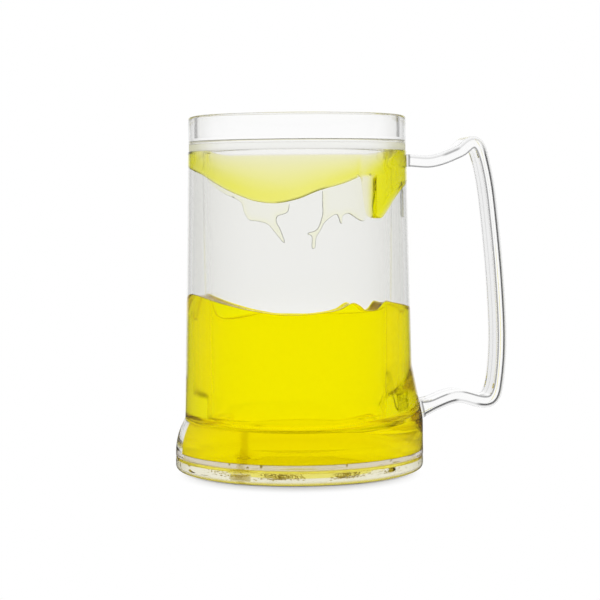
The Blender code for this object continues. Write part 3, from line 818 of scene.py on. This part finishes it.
def make_upper_gel():
    """The gel that clings to the outer wall under the collar.

    It is thin above, with a thick lip along its lower edge and a lobe near the handle.
    """
    rows = 36
    blunt_run = 1.3 * MM

    def hang(k, radius, z, angle):
        low = edge_at(UPPER_EDGE, angle) * MM
        degrees = math.degrees(angle)
        sideways = aside(angle)
        front = max(0.0, min(1.0, 1.5 - abs(sideways) / 75))
        left = window(-sideways, 40, 30, 95, 15)
        lobe = window(degrees, -68, 20, 5, 25)
        top = CEILING_LOW - 0.3 * MM + 2.6 * MM * soft_step(abs(sideways) / 30 - 1.2)
        outer = k < rows
        share = (k if outer else 2 * rows - 1 - k) / (rows - 1)
        height = top - (top - low) * math.sin(share * math.pi / 2)
        wet = min(1.0, 20 * (1 - share)) if front or lobe else 1 - share
        if outer or share in (0, 1):
            return bore_radius(height) + WETTING * wet, height
        near = min(1.0, (height - low) / blunt_run)
        blunt = math.sqrt(max(0.0, 1 - (1 - near) ** 2))
        taper = (height - low) / (top - low)
        edge = taper + (blunt - taper) * max(front, lobe)
        thick = GEL_SKIN + (GEL_FRONT + GEL_LIP * min(share, 0.6)) * front
        thick += GEL_LOBE * lobe * soft_step(3.5 * share)
        thick += GEL_LEFT * left * soft_step(2 * share)
        fade = 1.0
        if degrees > -66:
            fade = max(soft_step((degrees + 62) / 14), soft_step((height / MM - 115.6) / 1.6))
        thick *= edge * fade * MM
        room = 0.20 * MM + max(0.0, CEILING_HIGH - height) / math.tan(SHOULDER_SLOPE)
        return bore_radius(height) - min(thick, room), height

    bm = lathe([(0.0, 0.0)] * (2 * rows), hang, turns=2 * TURNS)
    # Painted shade: a dark line along the gel's lower edge, strongest at the front and missing at the
    # lobe's left flank
    painted_shade_mask = bm.verts.layers.float.new("gel_edge_shade")
    lows = {}
    for vert in bm.verts:
        angle = round(math.atan2(vert.co.y, vert.co.x), 4)
        if angle not in lows:
            lows[angle] = edge_at(UPPER_EDGE, angle)
        degrees = math.degrees(angle)
        dark = GEL_LINE_FAINT + (1 - GEL_LINE_FAINT) * window(degrees, -114, 10, -81, 6)
        dark *= 1 - window(degrees, -68, 4, -50, 4)
        vert[painted_shade_mask] = dark * max(0.0, 1 - (vert.co.z / MM - lows[angle]) / GEL_LINE_WIDTH)
    return add_piece("upper_gel", bm, THIN_GEL, "gel_upper")


# Bead along the edge of the film, and the film's own thickness, in millimetres
BEAD_WIDTH = 0.65
BEAD_HEIGHT = 0.50
FILM = 0.20
# Radius at which the film's width is measured, and the distance from its outline that counts as on it
FILM_RADIUS = 38.0
ON_EDGE = 1e-3


def puddle(outline, radius_at, grid, outward=1):
    """A thin closed sheet on a turned wall.

    Its closed outline is in degrees from the handle and height in millimetres, and grid is the distance
    between its inner points.
    """
    line = smooth_through(list(outline) + [outline[0]], 6)[:-1]
    flat = [Vector((math.radians(a) * FILM_RADIUS, z)) for a, z in line]
    edges = [(i, (i + 1) % len(flat)) for i in range(len(flat))]
    low_x, high_x = min(p.x for p in flat), max(p.x for p in flat)
    low_y, high_y = min(p.y for p in flat), max(p.y for p in flat)

    def depth(p):
        """Distance of a point from the outline."""
        best = math.inf
        for i, j in edges:
            a, d = flat[i], flat[j] - flat[i]
            t = max(0.0, min(1.0, (p - a).dot(d) / max(d.length_squared, 1e-12)))
            best = min(best, (p - a - d * t).length)
        return best

    def rise(d, below):
        """Thickness at a distance from the outline: a bead below the gel, then a thin film."""
        bead = BEAD_HEIGHT * below * min(d, BEAD_WIDTH) / BEAD_WIDTH
        return (FILM * (1 - math.exp(-d / BEAD_WIDTH)) + bead * math.exp(1 - d / BEAD_WIDTH)) * MM

    points = list(flat)
    turning = sum(p.x * q.y - q.x * p.y for p, q in zip(flat, flat[1:] + flat[:1]))
    for before, p, after in zip(flat[-1:] + flat, flat, flat[1:] + flat[:1]):
        ahead = (after - before).normalized()
        inner = p + Vector((-ahead.y, ahead.x)) * math.copysign(BEAD_WIDTH / 2, turning)
        if depth(inner) > 0.4 * BEAD_WIDTH:
            points.append(inner)
    x = low_x
    while x < high_x:
        y = low_y
        while y < high_y:
            p = Vector((x, y))
            if depth(p) > BEAD_WIDTH:
                points.append(p)
            y += grid
        x += grid
    # Edges that cross the sheet from outline to outline get a point in their middle
    for _ in range(5):
        found, _, faces, _, _, _ = delaunay_2d_cdt(points, [], [list(range(len(flat)))], 1, 1e-5)
        depths = [depth(p) for p in found]
        shared = {}
        for face in faces:
            for i, j in zip(face, face[1:] + face[:1]):
                shared[frozenset((i, j))] = shared.get(frozenset((i, j)), 0) + 1
        bridges = [tuple(pair) for pair, count in shared.items() if count == 2]
        middles = [
            (found[i] + found[j]) / 2 for i, j in bridges if depths[i] < ON_EDGE and depths[j] < ON_EDGE
        ]
        if not middles:
            break
        points += middles
    bm = bmesh.new()
    # Painted shade: a dark line along the sheet's edge, where it lies below the gel
    painted_shade_mask = bm.verts.layers.float.new("film_edge_shade")
    back, front = [], []
    for p, d in zip(found, depths):
        angle = p.x / FILM_RADIUS
        z = p.y * MM
        base = radius_at(z)
        below = soft_step(edge_at(UPPER_EDGE, angle) - 0.5 - p.y)
        top = base + outward * rise(d, below)
        back.append(bm.verts.new((base * math.cos(angle), base * math.sin(angle), z)))
        if d > ON_EDGE:
            front.append(bm.verts.new((top * math.cos(angle), top * math.sin(angle), z)))
        else:
            front.append(back[-1])
        front[-1][painted_shade_mask] = max(0.0, 1 - 2 * d / BEAD_WIDTH) * below
    for face in faces:
        if all(front[i] is back[i] for i in face):
            continue
        bm.faces.new([front[i] for i in face])
        bm.faces.new([back[i] for i in reversed(face)])
    bmesh.ops.delete(bm, geom=[v for v in bm.verts if not v.link_faces], context="VERTS")
    bmesh.ops.recalc_face_normals(bm, faces=bm.faces)
    return bm


# Films on the cup: degrees around the mug from the handle, and millimetres above the table
FILM_OUTLINES = (
    (
        (-166, 116), (-156, 112.7), (-146.5, 110), (-134.2, 106.9), (-131.4, 102.7), (-128, 99.9),
        (-122.7, 99.4), (-116.5, 98.2), (-112.3, 95.2), (-107.5, 91.4), (-106.6, 92), (-109, 96.4),
        (-111, 99), (-110.3, 101.3), (-104.7, 102.8), (-103.5, 107), (-104, 112), (-118, 115),
        (-140, 118), (-158, 120),
    ),
    (
        (-84.8, 112), (-84.8, 106), (-84.8, 101.7), (-87.8, 96.4), (-93, 94.9), (-93, 94.2), (-91, 93.4),
        (-91, 89.3), (-89, 89.3), (-88.4, 93), (-86, 95.6), (-83, 99), (-76.9, 101.7), (-75, 100.5),
        (-73.9, 98.5), (-72.5, 98.5), (-72.3, 100.9), (-68.5, 102), (-63, 100.1), (-58.6, 99),
        (-54, 100.1), (-49, 102), (-49, 112), (-66, 119), (-80, 117),
    ),
)
# A run on the outer wall, below the gel near the handle
RUN_OUTLINE = (
    (-28, 114), (-25, 114), (-25.2, 106), (-25.4, 101), (-26.4, 100.2), (-27.4, 101), (-27.2, 106),
)


def make_film():
    """The pale films and runs that hang under the upper gel."""
    bm = bmesh.new()
    parts = [puddle(outline, lambda z: cup_radius(z) - WETTING, 1.2) for outline in FILM_OUTLINES]
    parts.append(puddle(RUN_OUTLINE, lambda z: bore_radius(z) + WETTING, 0.6, -1))
    for part in parts:
        mesh = to_mesh("film_part", part)
        bm.from_mesh(mesh)
        bpy.data.meshes.remove(mesh)
    return add_piece("gel_runs", bm, PALE_FILM, "gel_film", sharp=60.0)


# Joints and plug

# How uneven a bead of glue is, how its ripples run around it, and how flat its drops lie
RIPPLE = 0.06 * MM
RIPPLES_AROUND = 14
RIPPLES_ALONG = 0.8
RIPPLE_SCALE = 3.0
DROP_SPREAD = 1.3


def make_bond(name, node, material, profile, drops):
    """A bead of glue in a joint, with an uneven face, and small drops beside it: place and size."""

    def uneven(k, radius, z, angle):
        around = (math.cos(angle) * RIPPLES_AROUND, math.sin(angle) * RIPPLES_AROUND)
        spot = Vector((*around, k * RIPPLES_ALONG))
        return radius + RIPPLE * noise.noise(spot * RIPPLE_SCALE), z

    bm = lathe(profile, uneven)
    ring = len(bm.faces)
    for place, size in drops:
        wide = size * DROP_SPREAD
        matrix = Matrix.Translation(place) @ Matrix.Diagonal((wide, wide, size, 1.0))
        bmesh.ops.create_icosphere(bm, subdivisions=1, radius=1.0, matrix=matrix)
    for i, face in enumerate(bm.faces):
        face.material_index = int(i >= ring)
    piece = add_piece(name, bm, material, node)
    piece.data.materials.append(GLUE_DROPS)
    return piece


def glue_drops(stretches, radii, heights, sizes):
    """Drops of glue along a joint, in millimetres.

    Each stretch has its middle and width in degrees, and a count.
    """
    chance = random.Random(7)
    drops = []
    for middle, width, count in stretches:
        for _ in range(count):
            angle = math.radians(middle + width * (chance.random() + chance.random() - 1))
            radius = chance.uniform(*radii) * MM
            z = chance.uniform(*heights) * MM
            place = Vector((radius * math.cos(angle), radius * math.sin(angle), z))
            drops.append((place, chance.uniform(*sizes) * MM))
    return drops


# The rim's glue fills the groove under the collar, and the base's lies flat under the shell's edge
RIM_GLUE_IN = SHELL_BORE_TOP + 0.2 * MM
RIM_GLUE_SEAM = SEAM_RADIUS - 0.1 * MM
RIM_GLUE_EDGE = COLLAR_RADIUS - 0.15 * MM
RIM_GLUE_FACE = COLLAR_RADIUS - 0.12 * MM
RIM_GLUE_SECTION = (
    (RIM_GLUE_IN, TONGUE_TOP - WETTING), (RIM_GLUE_SEAM, TONGUE_TOP - WETTING),
    (RIM_GLUE_SEAM, SHOULDER - WETTING), (RIM_GLUE_EDGE, SHOULDER - WETTING),
    (RIM_GLUE_FACE, SHOULDER + 1.0 * MM), (RIM_GLUE_FACE, COLLAR_BOTTOM - 0.6 * MM),
    (RIM_GLUE_EDGE, COLLAR_BOTTOM + WETTING), (RIM_GLUE_SEAM, COLLAR_BOTTOM + WETTING),
    (RIM_GLUE_SEAM, FLANGE_BOTTOM + WETTING), (RIM_GLUE_IN, FLANGE_BOTTOM + WETTING),
)
BASE_GLUE_IN = FOOT_BORE + 0.2 * MM
BASE_GLUE_EDGE = FOOT_RADIUS - 0.2 * MM
BASE_GLUE_FACE = FOOT_RADIUS - 0.1 * MM
BASE_GLUE_SECTION = (
    (BASE_GLUE_IN, BASE_FLANGE - WETTING), (BASE_GLUE_EDGE, BASE_FLANGE - WETTING),
    (BASE_GLUE_FACE, (BASE_FLANGE + SHELL_BOTTOM) / 2), (BASE_GLUE_EDGE, SHELL_BOTTOM + WETTING),
    (BASE_GLUE_IN, SHELL_BOTTOM + WETTING),
)
RIM_DROPS = glue_drops(((-38, 10, 30),), (43.0, 43.1), (127.0, 128.4), (0.06, 0.13))
BASE_DROPS = glue_drops(
    ((-107, 11, 440), (-77, 9, 300), (-135, 14, 70), (-55, 16, 80), (80, 70, 120)),
    (47.4, 48.9), (2.4, 4.5), (0.08, 0.22),
)


def make_plug():
    """The stopper of the filling hole: a flat head, a stem and a knob."""
    low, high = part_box("fill_plug")
    stem = 1.2 * MM
    knob = 2.2 * MM
    head = (high.x - low.x) / 2
    head_top = low.z + 1.2 * MM
    knob_low = high.z - 1.4 * MM
    soft = 0.3 * MM
    profile = [(0.0, low.z), (head - soft, low.z), (head, low.z + soft), (head, head_top)]
    profile += [(stem, head_top), (stem, knob_low), (knob - soft, knob_low), (knob, knob_low + soft)]
    profile += arc((knob - 2 * soft, high.z - 2 * soft), 2 * soft, 0, 90, 4) + [(0.0, high.z)]
    bm = lathe(profile, closed=False, turns=64)
    bmesh.ops.translate(bm, vec=((low.x + high.x) / 2, 0, 0), verts=bm.verts)
    return add_piece("filling_plug", bm, RUBBER, "fill_plug")


make_shell()
make_liner()
make_base()
make_handle()
make_lower_gel()
make_upper_gel()
make_film()
make_bond("rim_glue", "rim_bond_ring", RIM_GLUE, RIM_GLUE_SECTION, RIM_DROPS)
make_bond("base_glue", "base_bond_ring", BASE_GLUE, BASE_GLUE_SECTION, BASE_DROPS)
make_plug()


# Table, light and camera

TABLE_RADIUS = 0.40
TABLE_DROP = 0.2 * MM
TABLE_GREY = 0.9
# Middle of the shadow under the mug, where it ends, and how much of the table's glow is left in it
SHADOW_MIDDLE = (-2.5 * MM, -16.0 * MM, 0.0)
SHADOW_INNER = 34.0 * MM
SHADOW_OUTER = 49.0 * MM
SHADOW_GLOW = 0.1
# The way to the white end of the room, behind the mug, and how bright the rest of the room is in mirrors
WHITE_END = (0.156, 0.988, 0.0)
ROOM_SHADE = 0.08


def room_light(tree, place):
    """White, but dimmer for what the mug mirrors of the front and the sides.

    place names the coordinates that give the way from the mug.
    """
    way = tree.nodes.new("ShaderNodeVectorMath")
    way.operation = "NORMALIZE"
    towards = tree.nodes.new("ShaderNodeVectorMath")
    towards.operation = "DOT_PRODUCT"
    towards.inputs[1].default_value = WHITE_END
    tree.links.new(tree.nodes.new("ShaderNodeTexCoord").outputs[place], way.inputs[0])
    tree.links.new(way.outputs["Vector"], towards.inputs[0])
    front = ramp(tree, towards.outputs["Value"], 0.88, 0.96, 1.0, 0.0)
    room = tree.nodes.new("ShaderNodeMix")
    room.data_type = "RGBA"
    room.inputs["A"].default_value = (1, 1, 1, 1)
    room.inputs["B"].default_value = (ROOM_SHADE, ROOM_SHADE, ROOM_SHADE, 1)
    tree.links.new(times(tree, mirrored(tree), front), room.inputs["Factor"])
    return room.outputs["Result"]


def make_table():
    """A pale round table. It glows white to the eye, in mirrors and through glass, but for the shadow."""
    bm = bmesh.new()
    bmesh.ops.create_circle(bm, cap_ends=True, segments=96, radius=TABLE_RADIUS)
    bmesh.ops.translate(bm, vec=(0, 0, -TABLE_DROP), verts=bm.verts)
    table = bpy.data.objects.new("table", to_mesh("table", bm))
    SCENE.collection.objects.link(table)
    material = bpy.data.materials.new("pale_table")
    material.use_nodes = True
    tree = material.node_tree
    shader = tree.nodes["Principled BSDF"]
    shader.inputs["Base Color"].default_value = (TABLE_GREY, TABLE_GREY, TABLE_GREY, 1.0)
    shader.inputs["Roughness"].default_value = 1.0
    shader.inputs["Specular IOR Level"].default_value = 0.0
    glow = tree.nodes.new("ShaderNodeEmission")
    tree.links.new(room_light(tree, "Object"), glow.inputs["Color"])
    path = tree.nodes.new("ShaderNodeLightPath")
    place = tree.nodes.new("ShaderNodeTexCoord")
    near = tree.nodes.new("ShaderNodeVectorMath")
    near.operation = "DISTANCE"
    near.inputs[1].default_value = SHADOW_MIDDLE
    tree.links.new(place.outputs["Object"], near.inputs[0])
    lit = ramp(tree, near.outputs["Value"], SHADOW_INNER, SHADOW_OUTER, SHADOW_GLOW, 1.0)
    share = times(tree, path.outputs["Is Camera Ray"], lit)
    for ray in ("Is Glossy Ray", "Is Transmission Ray"):
        share = joined(tree, "MAXIMUM", share, path.outputs[ray])
    mix = tree.nodes.new("ShaderNodeMixShader")
    tree.links.new(share, mix.inputs["Fac"])
    tree.links.new(shader.outputs["BSDF"], mix.inputs[1])
    tree.links.new(glow.outputs["Emission"], mix.inputs[2])
    tree.links.new(mix.outputs["Shader"], tree.nodes["Material Output"].inputs["Surface"])
    table.data.materials.append(material)


def make_light():
    """A white room: what shows behind and through the mug is white, and what it mirrors is dimmer."""
    world = bpy.data.worlds.new("studio")
    SCENE.world = world
    world.use_nodes = True
    tree = world.node_tree
    tree.links.new(room_light(tree, "Generated"), tree.nodes["Background"].inputs["Color"])
    tree.nodes["Background"].inputs["Strength"].default_value = 1.0


def make_camera():
    """A camera at the photograph's place and angle."""
    distance = 0.712
    height = 0.110
    turn = math.radians(-9.0)
    pitch = math.radians(-3.44)
    yaw = math.radians(0.055)
    roll = math.radians(-0.45)
    spot = Vector((math.sin(turn) * distance, -math.cos(turn) * distance, height))
    data = bpy.data.cameras.new("camera")
    data.lens = 106.8
    data.sensor_width = 36.0
    camera = bpy.data.objects.new("camera", data)
    SCENE.collection.objects.link(camera)
    aim = Matrix.Rotation(turn - yaw, 4, "Z") @ Matrix.Rotation(math.pi / 2 + pitch, 4, "X")
    camera.matrix_world = Matrix.Translation(spot) @ aim @ Matrix.Rotation(roll, 4, "Z")
    SCENE.camera = camera


make_table()
make_light()
make_camera()
SCENE.view_settings.view_transform = "Standard"
SCENE.cycles.max_bounces = 48
SCENE.cycles.transmission_bounces = 48
SCENE.cycles.glossy_bounces = 32
